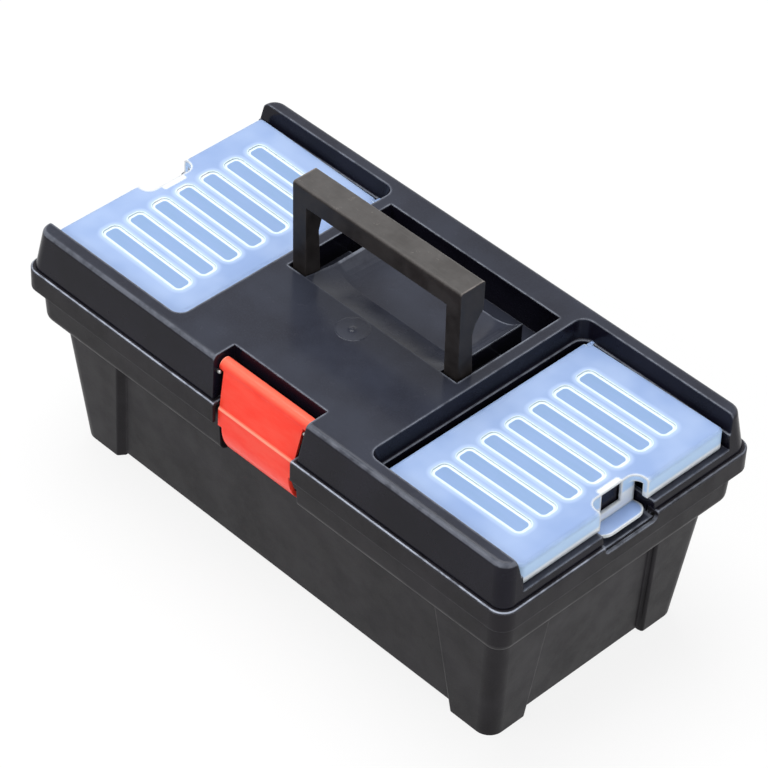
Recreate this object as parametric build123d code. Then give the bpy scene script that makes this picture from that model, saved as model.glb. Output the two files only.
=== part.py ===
from build123d import *
from math import atan2, cos, hypot, radians, sin, sqrt, tan
import os

# Small plastic tool box with a folding handle, a front latch and two clear organiser covers.
# Millimetres. X runs along the box, -Y is the latch side, +Z is up, z = 0 is the table.
# The origin is the bottom centre of the whole outline, so everything is drawn about the
# middle of the rim and then moved by half of what the rear hinges stand out.

# Rim of the tub, which is the widest outline
BOX_LENGTH = 312.0
BOX_DEPTH = 160.0
TUB_HEIGHT = 103.3
RIM_CORNER = 8.0
RIM_HEIGHT = 11.3
RIM_SKIRT = 1.8
RIM_PLATE = 2.0
RIM_EDGE = 0.8

# Upper storey of the tub, under the rim
BAND_HEIGHT = 20.5
BAND_INSET = 3.9
BAND_DRAFT = 3.0
BAND_EDGE = 5.0

# Lower storey: four corner columns with recessed walls between them
SHOULDER_STEP = 6.5
BODY_DRAFT = 5.5
COLUMN_FRONT = 27.0
COLUMN_FRONT_FLARE = 7.0
COLUMN_FRONT_ANGLE = 35.0
COLUMN_END = 23.4
COLUMN_END_FLARE = 4.0
COLUMN_END_ANGLE = 10.0
COLUMN_ROUND = 1.5
FRONT_RECESS = 3.5
END_RECESS = 2.8
FOOT_HEIGHT = 2.0
FLOOR = 2.5
WALL = 2.2

# Lid
SEAM_GAP = 0.3
LID_HEIGHT = 21.9
LID_INSET = 2.0
LID_DRAFT = 7.7
LID_EDGE = 3.0
LID_WALL = 2.0
DECK_MARGIN = 7.6

# Organiser pockets in the lid, open at the ends of the box
RAIL_WIDTH = 12.0
POCKET_TOP_DEPTH = 9.5
POCKET_TOP_DRAFT = 10.0
POCKET_LEDGE = 1.0
POCKET_FLOOR_DROP = 3.6
POCKET_CORNER = 6.0
END_WALL_HEIGHT = 4.4
END_WALL = 5.0

# Clear covers
COVER_RECESS = 8.5
COVER_WALL = 1.4
COVER_SIDE_GAP = 0.7
COVER_HINGE_MARGIN = 8.2
COVER_END_MARGIN = 6.0
COVER_RISE = 1.5
COVER_SKIRT = 10.6
COVER_SIDE_SKIRT = 3.6
COVER_CORNER = 3.0
COVER_HINGE_CORNER = 3.0
COVER_EDGE = 1.1
COVER_BARREL = 2.2
COVER_PEG = 1.5
COVER_PEG_LENGTH = 2.6
SLOT_COUNT = 7
SLOT_PITCH = 15.2
SLOT_WIDTH = 10.2
SLOT_CORNER = 3.6
SLOT_START = 12.0
SLOT_END = 14.5
SLOT_DEPTH = 0.6

# Snap tab of a cover, and the niche in the lid that it hangs in
TAB_HALF = 15.0
TAB_SETBACK = 7.7
TAB_NOTCH_ROUND = 5.0
TAB_HOLE_HALF = 6.4
TAB_HOLE_DROP = 0.6
TAB_HOLE_HEIGHT = 11.0
TAB_DROP = 16.3
TONGUE_REACH = 9.8
TONGUE_RISE = 1.8
TONGUE_CORNER = 7.0
NICHE_CLEARANCE = 1.2
NICHE_FLOOR = 1.3
LUG_HEIGHT = 1.3
LUG_CLEARANCE = 0.6
RIM_NOTCH_DEPTH = 4.5
RIM_NOTCH_CLEARANCE = 0.5
RIM_NOTCH_ROUND = 3.0

# Handle
HANDLE_HALF = 53.2
HANDLE_LEG = 8.7
HANDLE_RISE = 58.0
HANDLE_GRIP = 10.8
HANDLE_FRONT = 6.5
HANDLE_REAR = 8.5
LEG_FRONT = 5.0
LEG_WAIST = 2.2
LEG_FOOT = 4.2
GRIP_HEEL = 5.5
NECK_DROP = 6.1
WAIST_DROP = 5.7
HANDLE_ROUND = 1.5
HANDLE_PIVOT_DROP = 8.5
HANDLE_PEG = 3.0
HANDLE_PEG_LENGTH = 3.2

# Well in the deck that takes the folded handle
WELL_FRONT = 7.2
WELL_GAP = 1.4
WELL_SEAT = 0.9
WELL_CHEEK = 3.5
WELL_RAMP = 19.0
WELL_DEPTH_FRONT = 9.5
WELL_DEPTH_REAR = 11.0
WELL_FLAT_HALF = 25.0
CREST_DROP = 3.2
CREST_DROP_FRONT = 0.6
RAMP_START_DROP = 1.4

# Latch
LATCH_HALF = 24.3
LATCH_TOP_HALF = 26.0
LATCH_STEP = 1.0
LATCH_THICKNESS = 2.0
LATCH_BARREL = 3.5
LATCH_BARREL_HALF = 28.5
LATCH_PIVOT_SETBACK = 10.5
LATCH_PIVOT_DROP = 6.0
LATCH_PIN = 1.0
LATCH_FACE_SETBACK = 2.4
LATCH_RIDGE_DROP = 19.5
LATCH_CHEEK_HEIGHT = 10.0
LATCH_CHEEK_DEPTH = 4.0
LIP_RADIUS = 26.0
LIP_SWEEP = 51.0
LIP_INSET = 2.4
LIP_CORNER = 5.0
LATCH_NOTCH_HALF = 30.0
LATCH_NOTCH_TAPER = 2.4
LATCH_NOTCH_SETBACK = 17.5
RIM_LATCH_CLEARANCE = 0.9
CATCH_HALF = 18.0
CATCH_RISE = 8.0
CATCH_CLEARANCE = 0.5

# Rear hinges
HINGE_SETBACK = 1.6
HINGE_END_MARGIN = 61.0
KNUCKLE = 3.2
KNUCKLE_TUB = 12.0
KNUCKLE_LID = 8.0
KNUCKLE_GAP = 0.4
HINGE_PIN = 1.25

# Fits
PIN_CLEARANCE = 0.05
MOVING_CLEARANCE = 0.4
OVERLAP = 0.1
CUT = 5.0

# Heights and places worked out from the sizes above
HALF_LENGTH = BOX_LENGTH / 2
HALF_DEPTH = BOX_DEPTH / 2
BAND_TOP = TUB_HEIGHT - RIM_HEIGHT
SHOULDER = BAND_TOP - BAND_HEIGHT
BAND_LOW_INSET = BAND_INSET + BAND_HEIGHT * tan(radians(BAND_DRAFT))
COLUMN_TOP_INSET = BAND_LOW_INSET + SHOULDER_STEP
SEAM = TUB_HEIGHT + SEAM_GAP
LID_TOP = SEAM + LID_HEIGHT
LID_TOP_INSET = LID_INSET + LID_HEIGHT * tan(radians(LID_DRAFT))
HANDLE_INNER = HANDLE_HALF - HANDLE_LEG
DECK_HALF = HANDLE_HALF + DECK_MARGIN
POCKET_HALF = HALF_DEPTH - RAIL_WIDTH
COVER_TOP = LID_TOP - COVER_RECESS
COVER_HINGE_X = DECK_HALF + COVER_HINGE_MARGIN
COVER_HINGE_Z = COVER_TOP - COVER_BARREL
COVER_OUTER = HALF_LENGTH - COVER_END_MARGIN
SLOT_LENGTH = COVER_OUTER - COVER_HINGE_X - SLOT_START - SLOT_END
LEDGE_Z = LID_TOP - POCKET_TOP_DEPTH
LEDGE_SHIFT = POCKET_TOP_DEPTH * tan(radians(POCKET_TOP_DRAFT))
POCKET_MID_HALF = POCKET_HALF - LEDGE_SHIFT
POCKET_LOW_HALF = POCKET_MID_HALF - POCKET_LEDGE
POCKET_LOW_INNER = DECK_HALF + LEDGE_SHIFT + POCKET_LEDGE
POCKET_FLOOR = SEAM - POCKET_FLOOR_DROP
COVER_HALF = POCKET_LOW_HALF - COVER_SIDE_GAP
END_WALL_TOP = SEAM + END_WALL_HEIGHT
POCKET_LOW_OUTER = HALF_LENGTH - LID_INSET - LID_WALL - END_WALL
TAB_X = COVER_OUTER - TAB_SETBACK
TAB_BOTTOM = COVER_TOP - TAB_DROP
TONGUE_X = TAB_X + TONGUE_REACH
RIM_NOTCH_Z = TUB_HEIGHT - RIM_NOTCH_DEPTH
NICHE_HALF = TAB_HALF + NICHE_CLEARANCE
NICHE_LOW = RIM_NOTCH_Z + SEAM_GAP
LUG_X = TAB_X - COVER_WALL - MOVING_CLEARANCE
NICHE_X = LUG_X - LUG_HEIGHT
LUG_TOP = COVER_TOP + (NICHE_X - COVER_HINGE_X) * sin(radians(COVER_RISE)) - COVER_WALL - LUG_CLEARANCE
HANDLE_Z = LID_TOP - HANDLE_PIVOT_DROP
HANDLE_TOP = HANDLE_Z + HANDLE_RISE
WELL_HALF = HANDLE_HALF + WELL_GAP
CREST_HALF = HANDLE_INNER - WELL_SEAT
WELL_BACK = HANDLE_RISE + WELL_SEAT
SLOT_FRONT = HANDLE_RISE - HANDLE_GRIP - WELL_SEAT
SLOT_FLOOR = HANDLE_Z - HANDLE_REAR - WELL_SEAT
CHANNEL_FLOOR = HANDLE_Z - LEG_FOOT - WELL_SEAT
LATCH_PIVOT_Y = -HALF_DEPTH + LATCH_PIVOT_SETBACK
LATCH_PIVOT_Z = LID_TOP - LATCH_PIVOT_DROP
LATCH_FACE_Y = -HALF_DEPTH + LATCH_FACE_SETBACK
LATCH_NOTCH_Y = -HALF_DEPTH + LATCH_NOTCH_SETBACK
RIDGE_Z = LATCH_PIVOT_Z - LATCH_RIDGE_DROP
LIP_Z = RIDGE_Z - LATCH_CHEEK_HEIGHT
LIP_CENTRE_Y = LATCH_FACE_Y + LIP_RADIUS
LIP_HALF = LATCH_HALF - LIP_INSET
RIM_LATCH_HALF = LATCH_HALF + RIM_LATCH_CLEARANCE
RIM_LATCH_Y = -HALF_DEPTH + COLUMN_TOP_INSET + FRONT_RECESS
HINGE_X = HALF_LENGTH - HINGE_END_MARGIN
HINGE_Y = HALF_DEPTH + HINGE_SETBACK
HINGE_Z = TUB_HEIGHT + SEAM_GAP / 2
ORIGIN_SHIFT = -(HINGE_SETBACK + KNUCKLE) / 2


def block(x0, x1, y0, y1, z0, z1):
    """Box between two corners."""
    middle = Pos((x0 + x1) / 2, (y0 + y1) / 2, (z0 + z1) / 2)
    return middle * Box(x1 - x0, y1 - y0, z1 - z0)


def both_ends(shape):
    """The shape and its mirror image at the other end of the box."""
    return shape + mirror(shape, Plane.YZ)


def rod_x(x0, x1, y, z, radius):
    """Round bar along X."""
    return Pos((x0 + x1) / 2, y, z) * Rot(0, 90, 0) * Cylinder(radius, x1 - x0)


def rod_y(x, y0, y1, z, radius):
    """Round bar along Y."""
    return Pos(x, (y0 + y1) / 2, z) * Rot(90, 0, 0) * Cylinder(radius, y1 - y0)


def side_slab(points, half):
    """Outline drawn in Y and Z, drawn out to both sides along X."""
    return extrude(Plane.YZ * make_face(Polyline(*points, close=True)), half, both=True)


def end_slab(points, half):
    """Outline drawn in X and Z, drawn out to both sides along Y."""
    return extrude(Plane.XZ * make_face(Polyline(*points, close=True)), half, both=True)


def frustum(low, high):
    """Block with flat drafted sides between two level rectangles, each given as x0, x1, y0, y1, z."""
    corners = [(x, y, z) for x0, x1, y0, y1, z in (low, high) for x in (x0, x1) for y in (y0, y1)]
    return ConvexPolyhedron(corners)


def upright_edges(shape):
    """Edges that run up the whole height of a block."""
    height = shape.bounding_box().size.Z
    return [edge for edge in shape.edges() if edge.bounding_box().size.Z > height / 2]


def storey(z0, inset0, z1, inset1, corner):
    """Drafted block whose walls lie inside the rim's outer face by the two insets."""
    x0, x1 = HALF_LENGTH - inset0, HALF_LENGTH - inset1
    y0, y1 = HALF_DEPTH - inset0, HALF_DEPTH - inset1
    solid = frustum((-x0, x0, -y0, y0, z0), (-x1, x1, -y1, y1, z1))
    return fillet(upright_edges(solid), corner)


def bottom_edges(shape):
    """Edges of the lowest face."""
    return shape.faces().sort_by(Axis.Z)[0].edges()


def top_edges(shape):
    """Edges of the highest face."""
    return shape.faces().sort_by(Axis.Z)[-1].edges()


def column_inset(z):
    """How far the columns' outer face lies inside the rim at a height."""
    return COLUMN_TOP_INSET + (SHOULDER - z) * tan(radians(BODY_DRAFT))


def panel_root(angle, shrink):
    """How far a recess's root corner moves outwards when its walls move inwards."""
    return shrink * (1 - sin(radians(angle))) / cos(radians(angle))


def front_panel(z, shrink):
    """Corners of the recess between two columns of the front, at one height."""
    flare = z * tan(radians(COLUMN_FRONT_FLARE))
    root_y = -HALF_DEPTH + column_inset(z) + FRONT_RECESS + shrink
    foot = HALF_LENGTH - column_inset(0) - COLUMN_FRONT
    root_x = foot - flare + panel_root(COLUMN_FRONT_ANGLE, shrink)
    deep = FRONT_RECESS + shrink + CUT
    mouth_x = root_x + deep * tan(radians(COLUMN_FRONT_ANGLE))
    return [(-root_x, root_y, z), (root_x, root_y, z), (mouth_x, root_y - deep, z), (-mouth_x, root_y - deep, z)]


def end_panel(z, shrink):
    """Corners of the recess between two columns of the right end, at one height."""
    flare = z * tan(radians(COLUMN_END_FLARE))
    root_x = HALF_LENGTH - column_inset(z) - END_RECESS - shrink
    foot = HALF_DEPTH - column_inset(0) - COLUMN_END
    root_y = foot - flare + panel_root(COLUMN_END_ANGLE, shrink)
    deep = END_RECESS + shrink + CUT
    mouth_y = root_y + deep * tan(radians(COLUMN_END_ANGLE))
    return [(root_x, -root_y, z), (root_x + deep, -mouth_y, z), (root_x + deep, mouth_y, z), (root_x, root_y, z)]


def lower_storey(z0, z1, shrink):
    """Drafted body with corner columns; shrink moves every wall inwards."""
    body = storey(z0, column_inset(z0) + shrink, z1, column_inset(z1) + shrink, RIM_CORNER - shrink)
    panels = ConvexPolyhedron(front_panel(z0, shrink) + front_panel(z1, shrink))
    panels += mirror(panels, Plane.XZ)
    panels += both_ends(ConvexPolyhedron(end_panel(z0, shrink) + end_panel(z1, shrink)))
    return body - panels


def is_column_side(edge):
    """True for the long upright edges beside the recesses, not for the box corners."""
    if edge.bounding_box().size.Z < SHOULDER:
        return False
    middle = edge.center()
    corner_x = HALF_LENGTH - column_inset(0) - RIM_CORNER
    corner_y = HALF_DEPTH - column_inset(0) - RIM_CORNER
    return abs(middle.X) < corner_x or abs(middle.Y) < corner_y


def tub_outside():
    """Outer form of the tub: columns, upper storey and rim, still solid."""
    body = lower_storey(0, SHOULDER + RIM_PLATE, 0)
    body = fillet([edge for edge in body.edges() if is_column_side(edge)], COLUMN_ROUND)
    foot_x = HALF_LENGTH - column_inset(0) - COLUMN_FRONT
    foot_y = HALF_DEPTH - column_inset(0) - COLUMN_END
    body -= block(-foot_x, foot_x, -HALF_DEPTH, HALF_DEPTH, -CUT, FOOT_HEIGHT)
    body -= block(-HALF_LENGTH, HALF_LENGTH, -foot_y, foot_y, -CUT, FOOT_HEIGHT)
    band = storey(SHOULDER, BAND_LOW_INSET, BAND_TOP + RIM_PLATE, BAND_INSET, RIM_CORNER)
    band = fillet(bottom_edges(band), BAND_EDGE)
    rim = storey(BAND_TOP, 0, TUB_HEIGHT, 0, RIM_CORNER)
    rim = chamfer(top_edges(rim), RIM_EDGE)
    channel = storey(BAND_TOP - CUT, RIM_SKIRT, TUB_HEIGHT - RIM_PLATE, RIM_SKIRT, RIM_CORNER - RIM_SKIRT)
    core_inset = BAND_INSET - OVERLAP
    core = storey(BAND_TOP - CUT, core_inset, TUB_HEIGHT, core_inset, RIM_CORNER)
    return body + band + (rim - (channel - core))


def tub_cavity():
    """Room inside the tub, with the inner ledge where the storeys meet."""
    ledge = SHOULDER + WALL
    low = lower_storey(FOOT_HEIGHT + FLOOR, ledge + WALL, WALL)
    high = storey(ledge, BAND_LOW_INSET + WALL, TUB_HEIGHT + CUT, BAND_INSET + WALL, RIM_CORNER - WALL)
    return low + high


def latch_recess(half, y, z0):
    """Room in front of a plane at the latch."""
    return block(-half, half, -HALF_DEPTH - CUT, y, z0, TUB_HEIGHT + CUT)


def hook_tip():
    """Innermost point of the latch's lip."""
    angle = radians(180 + LIP_SWEEP)
    inner = LIP_RADIUS - LATCH_THICKNESS
    return LIP_CENTRE_Y + inner * cos(angle), LIP_Z + inner * sin(angle)


def catch():
    """Nose that the latch snaps under; its face follows the arc of the hook about the lid's hinge."""
    tip_y, tip_z = hook_tip()
    reach = hypot(HINGE_Y - tip_y, HINGE_Z - tip_z)
    nose_z = tip_z + CATCH_RISE
    nose_y = HINGE_Y - sqrt(reach ** 2 - (HINGE_Z - nose_z) ** 2) + CATCH_CLEARANCE
    back = RIM_LATCH_Y + WALL / 2
    points = [(back, SHOULDER), (RIM_LATCH_Y, SHOULDER), (nose_y, nose_z), (RIM_LATCH_Y, nose_z + CATCH_RISE / 2),
              (back, nose_z + CATCH_RISE / 2)]
    return side_slab(points, CATCH_HALF)


def knuckles(spans, radius):
    """Round lugs on the hinge axis, mirrored to the other end."""
    lugs = [rod_x(x0, x1, HINGE_Y, HINGE_Z, radius) for x0, x1 in spans]
    return both_ends(Part() + lugs)


def tub_spans(grow):
    """Where the tub's knuckle lies along the hinge."""
    return [(HINGE_X - KNUCKLE_TUB / 2 - grow, HINGE_X + KNUCKLE_TUB / 2 + grow)]


def lid_spans(grow):
    """Where the lid's two knuckles lie along the hinge."""
    near = KNUCKLE_TUB / 2 + KNUCKLE_GAP
    far = near + KNUCKLE_LID
    return [(HINGE_X - far - grow, HINGE_X - near + grow), (HINGE_X + near - grow, HINGE_X + far + grow)]


def rim_end_notch():
    """Dip in the rim under the tab niche, with rounded bottom corners."""
    half = NICHE_HALF + RIM_NOTCH_CLEARANCE
    dip = block(POCKET_LOW_OUTER, HALF_LENGTH + CUT, -half, half, RIM_NOTCH_Z, TUB_HEIGHT + CUT)
    low = bottom_edges(dip).filter_by(Axis.X)
    return both_ends(fillet(low, RIM_NOTCH_ROUND))


def tub():
    """Tub with columns, rolled rim, latch recess, catch and hinge knuckles."""
    recess = latch_recess(RIM_LATCH_HALF, RIM_LATCH_Y, SHOULDER - CUT)
    liner = block(-RIM_LATCH_HALF - WALL, RIM_LATCH_HALF + WALL, -HALF_DEPTH, RIM_LATCH_Y + WALL,
                  SHOULDER, TUB_HEIGHT)
    cavity = tub_cavity() - liner
    relief = knuckles(lid_spans(MOVING_CLEARANCE), KNUCKLE + MOVING_CLEARANCE)
    shape = tub_outside() - cavity
    shape = shape - recess - rim_end_notch() + catch()
    shape += knuckles(tub_spans(0), KNUCKLE)
    shape -= relief
    return shape - knuckles(tub_spans(CUT), HINGE_PIN)


def pocket_plan(inner_x, outer_x, half, inner_corner, outer_corner):
    """Plan of the right pocket, rounded at its four corners."""
    plan = Pos((inner_x + outer_x) / 2, 0) * Rectangle(outer_x - inner_x, 2 * half)
    plan = fillet(plan.vertices().group_by(Axis.X)[-1], outer_corner)
    return fillet(plan.vertices().group_by(Axis.X)[0], inner_corner)


def raised(plan, z0, z1):
    """Plan drawn out between two heights."""
    return extrude(Plane.XY.offset(z0) * plan, z1 - z0)


def pocket_walls():
    """Outer form of the right pocket, before it is hollowed."""
    corner = POCKET_CORNER + LID_WALL
    low_plan = pocket_plan(POCKET_LOW_INNER - LID_WALL, POCKET_LOW_OUTER + LID_WALL,
                           POCKET_LOW_HALF + LID_WALL, corner, corner)
    high_plan = pocket_plan(DECK_HALF - LID_WALL, HALF_LENGTH + corner, POCKET_HALF + LID_WALL, corner, corner)
    ledge = END_WALL_TOP - LID_WALL
    return raised(low_plan, POCKET_FLOOR - LID_WALL, ledge), raised(high_plan, ledge, LID_TOP)


def pocket_mouth():
    """Drafted mouth of the right pocket, open at the end of the box."""
    inner = DECK_HALF + LEDGE_SHIFT
    outer = HALF_LENGTH + CUT
    top = LID_TOP + CUT
    spread = (top - LEDGE_Z) * tan(radians(POCKET_TOP_DRAFT))
    half = POCKET_MID_HALF + spread
    mouth = frustum((inner, outer, -POCKET_MID_HALF, POCKET_MID_HALF, LEDGE_Z),
                    (inner - spread, outer, -half, half, top))
    return fillet([edge for edge in upright_edges(mouth) if edge.center().X < COVER_OUTER], POCKET_CORNER)


def pocket_room():
    """Hollow of the right pocket: lower room, open-ended cover level and mouth."""
    outer = HALF_LENGTH + POCKET_CORNER
    low = pocket_plan(POCKET_LOW_INNER, POCKET_LOW_OUTER, POCKET_LOW_HALF, POCKET_CORNER, POCKET_CORNER)
    middle = pocket_plan(POCKET_LOW_INNER, outer, POCKET_LOW_HALF, POCKET_CORNER, POCKET_CORNER)
    return raised(low, POCKET_FLOOR, END_WALL_TOP) + raised(middle, END_WALL_TOP, LEDGE_Z) + pocket_mouth()


def niche_walls():
    """Set-back wall, cheeks and floor around the snap tab."""
    outer_half = NICHE_HALF + LID_WALL
    back = NICHE_X - LID_WALL
    edge = POCKET_LOW_OUTER + LID_WALL
    lid_face = HALF_LENGTH - LID_INSET
    under = POCKET_FLOOR - LID_WALL
    wall = block(back, NICHE_X, -outer_half, outer_half, under, LUG_TOP)
    inner = block(back, edge, -outer_half, outer_half, under, END_WALL_TOP)
    outer = block(edge, lid_face - LID_WALL / 2, -outer_half, outer_half, SEAM, END_WALL_TOP)
    pad = block(edge - LID_WALL, lid_face, -NICHE_HALF, NICHE_HALF, NICHE_LOW, END_WALL_TOP)
    pad = fillet(bottom_edges(pad).filter_by(Axis.X), RIM_NOTCH_ROUND)
    return wall + inner + outer + pad


def niche_room():
    """Room in front of the set-back wall, open outwards."""
    return block(NICHE_X, HALF_LENGTH + CUT, -NICHE_HALF, NICHE_HALF, NICHE_LOW + NICHE_FLOOR, LID_TOP + CUT)


def snap_lug():
    """Square lug that shows through the hole in the snap tab."""
    half = TAB_HOLE_HALF - LUG_CLEARANCE
    low = TAB_BOTTOM + COVER_WALL
    points = [(NICHE_X, low), (LUG_X, low), (LUG_X, LUG_TOP - LUG_HEIGHT), (NICHE_X, LUG_TOP)]
    return end_slab(points, half)


def latch_walls():
    """Walls of the notch in the lid's front that the latch hangs in."""
    back = LATCH_NOTCH_Y + LID_WALL
    foot = RIM_LATCH_Y + WALL
    return side_slab([(-HALF_DEPTH, SEAM), (foot, SEAM), (back, LID_TOP), (-HALF_DEPTH, LID_TOP)],
                     LATCH_NOTCH_HALF + LID_WALL)


def latch_notch():
    """Room of that notch, narrower at the seam than at the deck."""
    front = -HALF_DEPTH - CUT
    foot = RIM_LATCH_Y + WALL - LID_WALL
    room = side_slab([(front, SEAM - CUT), (foot, SEAM - CUT), (foot, SEAM), (LATCH_NOTCH_Y, LID_TOP),
                      (LATCH_NOTCH_Y, LID_TOP + CUT), (front, LID_TOP + CUT)], LATCH_NOTCH_HALF)
    low_half = LATCH_NOTCH_HALF - LATCH_NOTCH_TAPER
    outline = [(-LATCH_NOTCH_HALF, LID_TOP), (-low_half, SEAM), (-low_half, SEAM - 2 * CUT),
               (low_half, SEAM - 2 * CUT), (low_half, SEAM), (LATCH_NOTCH_HALF, LID_TOP),
               (LATCH_NOTCH_HALF, LID_TOP + 2 * CUT), (-LATCH_NOTCH_HALF, LID_TOP + 2 * CUT)]
    return room & end_slab(outline, 2 * HALF_DEPTH)


def well_section(y, centre_drop, crest_drop):
    """Cross-section of the curved well at one place: flat in the middle, rising to a crest."""
    low = LID_TOP - centre_drop
    crest = LID_TOP - crest_drop
    run = CREST_HALF - WELL_FLAT_HALF
    rise = crest - low
    radius = (run ** 2 + rise ** 2) / (2 * rise)
    half_angle = atan2(rise, run)
    mid = (WELL_FLAT_HALF + radius * sin(half_angle), low + radius * (1 - cos(half_angle)))
    top = LID_TOP + CUT
    outline = [Line((-WELL_FLAT_HALF, low), (WELL_FLAT_HALF, low)),
               ThreePointArc((WELL_FLAT_HALF, low), mid, (CREST_HALF, crest)),
               Line((CREST_HALF, crest), (CREST_HALF, top)),
               Line((CREST_HALF, top), (-CREST_HALF, top)),
               Line((-CREST_HALF, top), (-CREST_HALF, crest)),
               ThreePointArc((-CREST_HALF, crest), (-mid[0], mid[1]), (-WELL_FLAT_HALF, low))]
    place = Plane(origin=(0, y, 0), x_dir=(1, 0, 0), z_dir=(0, -1, 0))
    return place * make_face(outline)


def well_room():
    """Room for the folded handle: curved middle, two leg channels and the slot for the grip."""
    ramp_foot = WELL_RAMP - WELL_FRONT
    front = well_section(-WELL_FRONT, RAMP_START_DROP, CREST_DROP_FRONT)
    foot = well_section(ramp_foot, WELL_DEPTH_FRONT, CREST_DROP)
    rear = well_section(SLOT_FRONT + OVERLAP, WELL_DEPTH_REAR, CREST_DROP)
    middle = loft([front, foot], ruled=True) + loft([foot, rear], ruled=True)
    top = LID_TOP + CUT
    bend = SLOT_FRONT - HANDLE_LEG - CUT
    channel = block(CREST_HALF, WELL_HALF, -WELL_FRONT, WELL_BACK, CHANNEL_FLOOR, top)
    deep = block(CREST_HALF, WELL_HALF, bend, WELL_BACK, SLOT_FLOOR, top)
    slot = block(-WELL_HALF, WELL_HALF, SLOT_FRONT, WELL_BACK, SLOT_FLOOR, top)
    return middle + both_ends(channel + deep) + slot


def well_walls():
    """Shell under the well, stepped so that it stays thin."""
    half = WELL_HALF + WELL_CHEEK
    low = SLOT_FLOOR - LID_WALL
    shell = block(-half, half, -WELL_FRONT - LID_WALL, WELL_BACK + LID_WALL, low, LID_TOP)
    bend = SLOT_FRONT - HANDLE_LEG - CUT - LID_WALL
    front_void = block(-half + LID_WALL, half - LID_WALL, -WELL_FRONT, bend,
                       low - CUT, CHANNEL_FLOOR - LID_WALL)
    middle_half = CREST_HALF - LID_WALL
    middle_top = LID_TOP - WELL_DEPTH_REAR - LID_WALL
    middle_void = block(-middle_half, middle_half, -WELL_FRONT, SLOT_FRONT - LID_WALL, low - CUT, middle_top)
    return shell - front_void - middle_void


def lid():
    """Lid moulding with open-ended pockets, handle well, latch notch and hinge knuckles."""
    outside = storey(SEAM, LID_INSET, LID_TOP, LID_TOP_INSET, RIM_CORNER - LID_INSET / 2)
    outside = fillet(top_edges(outside), LID_EDGE)
    inside = storey(SEAM - CUT, LID_INSET + LID_WALL, LID_TOP - LID_WALL, LID_TOP_INSET + LID_WALL,
                    RIM_CORNER - LID_INSET / 2 - LID_WALL)
    low_walls, high_walls = pocket_walls()
    void = inside - both_ends(high_walls) - latch_walls() - well_walls()
    shape = outside - void + both_ends(low_walls)
    shape -= both_ends(pocket_room())
    shape += both_ends(niche_walls())
    shape -= both_ends(niche_room())
    shape += both_ends(snap_lug())
    shape -= latch_notch()
    shape -= well_room()
    shape += lid_hinge_lugs()
    return shape - lid_pin_holes()


def lid_hinge_lugs():
    """Knuckles of the lid with the webs that carry them on the rear wall."""
    wall_y = HALF_DEPTH - LID_INSET - LID_WALL / 2
    webs = [block(x0, x1, wall_y, HINGE_Y, SEAM, HINGE_Z + KNUCKLE) for x0, x1 in lid_spans(0)]
    return knuckles(lid_spans(0), KNUCKLE) + both_ends(Part() + webs)


def lid_pin_holes():
    """Holes for the hinge pins, the latch pin, the handle's pegs and the covers' pegs."""
    hinge = knuckles(lid_spans(CUT), HINGE_PIN + PIN_CLEARANCE)
    far = LATCH_NOTCH_HALF + LID_WALL + CUT
    latch = rod_x(-far, far, LATCH_PIVOT_Y, LATCH_PIVOT_Z, LATCH_PIN)
    peg_end = HANDLE_HALF + HANDLE_PEG_LENGTH + MOVING_CLEARANCE
    handle = both_ends(rod_x(WELL_HALF - OVERLAP, peg_end, 0, HANDLE_Z, HANDLE_PEG + PIN_CLEARANCE))
    wall = POCKET_LOW_HALF + LID_WALL + CUT
    cover = both_ends(rod_y(COVER_HINGE_X, -wall, wall, COVER_HINGE_Z, COVER_PEG + PIN_CLEARANCE))
    return hinge + latch + handle + cover


def cover_shell():
    """Cover with skirts and the rounded recess at its outer edge, without the tab."""
    low = COVER_TOP - COVER_SKIRT
    plan = pocket_plan(COVER_HINGE_X, COVER_OUTER, COVER_HALF, COVER_HINGE_CORNER, COVER_CORNER)
    outside = raised(plan, low, COVER_TOP)
    outer_edges = [edge for edge in top_edges(outside) if edge.center().X > COVER_HINGE_X + OVERLAP]
    outside = chamfer(outer_edges, COVER_EDGE)
    gap_plan = pocket_plan(TAB_X, COVER_OUTER + TAB_NOTCH_ROUND, TAB_HALF, TAB_NOTCH_ROUND, TAB_NOTCH_ROUND)
    gap = raised(gap_plan, low - CUT, COVER_TOP + CUT)
    room_plan = pocket_plan(COVER_HINGE_X + COVER_BARREL, COVER_OUTER - COVER_WALL, COVER_HALF - COVER_WALL,
                            COVER_HINGE_CORNER - COVER_WALL, COVER_CORNER - COVER_WALL)
    room = raised(room_plan, low - CUT, COVER_TOP - COVER_WALL)
    room -= block(TAB_X - COVER_WALL, COVER_OUTER, -TAB_HALF - COVER_WALL, TAB_HALF + COVER_WALL,
                  low - CUT, COVER_TOP)
    bend = COVER_OUTER - COVER_CORNER
    trim = block(COVER_HINGE_X - CUT, bend, -COVER_HALF - CUT, COVER_HALF + CUT, low - CUT,
                 COVER_TOP - COVER_SIDE_SKIRT)
    return outside - gap - room - trim


def cover_slots():
    """Row of shallow moulded slots in the cover's top."""
    first = -SLOT_PITCH * (SLOT_COUNT - 1) / 2
    middle = COVER_HINGE_X + SLOT_START + SLOT_LENGTH / 2
    slots = Part()
    for number in range(SLOT_COUNT):
        plan = Pos(middle, first + number * SLOT_PITCH) * RectangleRounded(SLOT_LENGTH, SLOT_WIDTH, SLOT_CORNER)
        slots += raised(plan, COVER_TOP - SLOT_DEPTH, COVER_TOP + CUT)
    return slots


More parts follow.
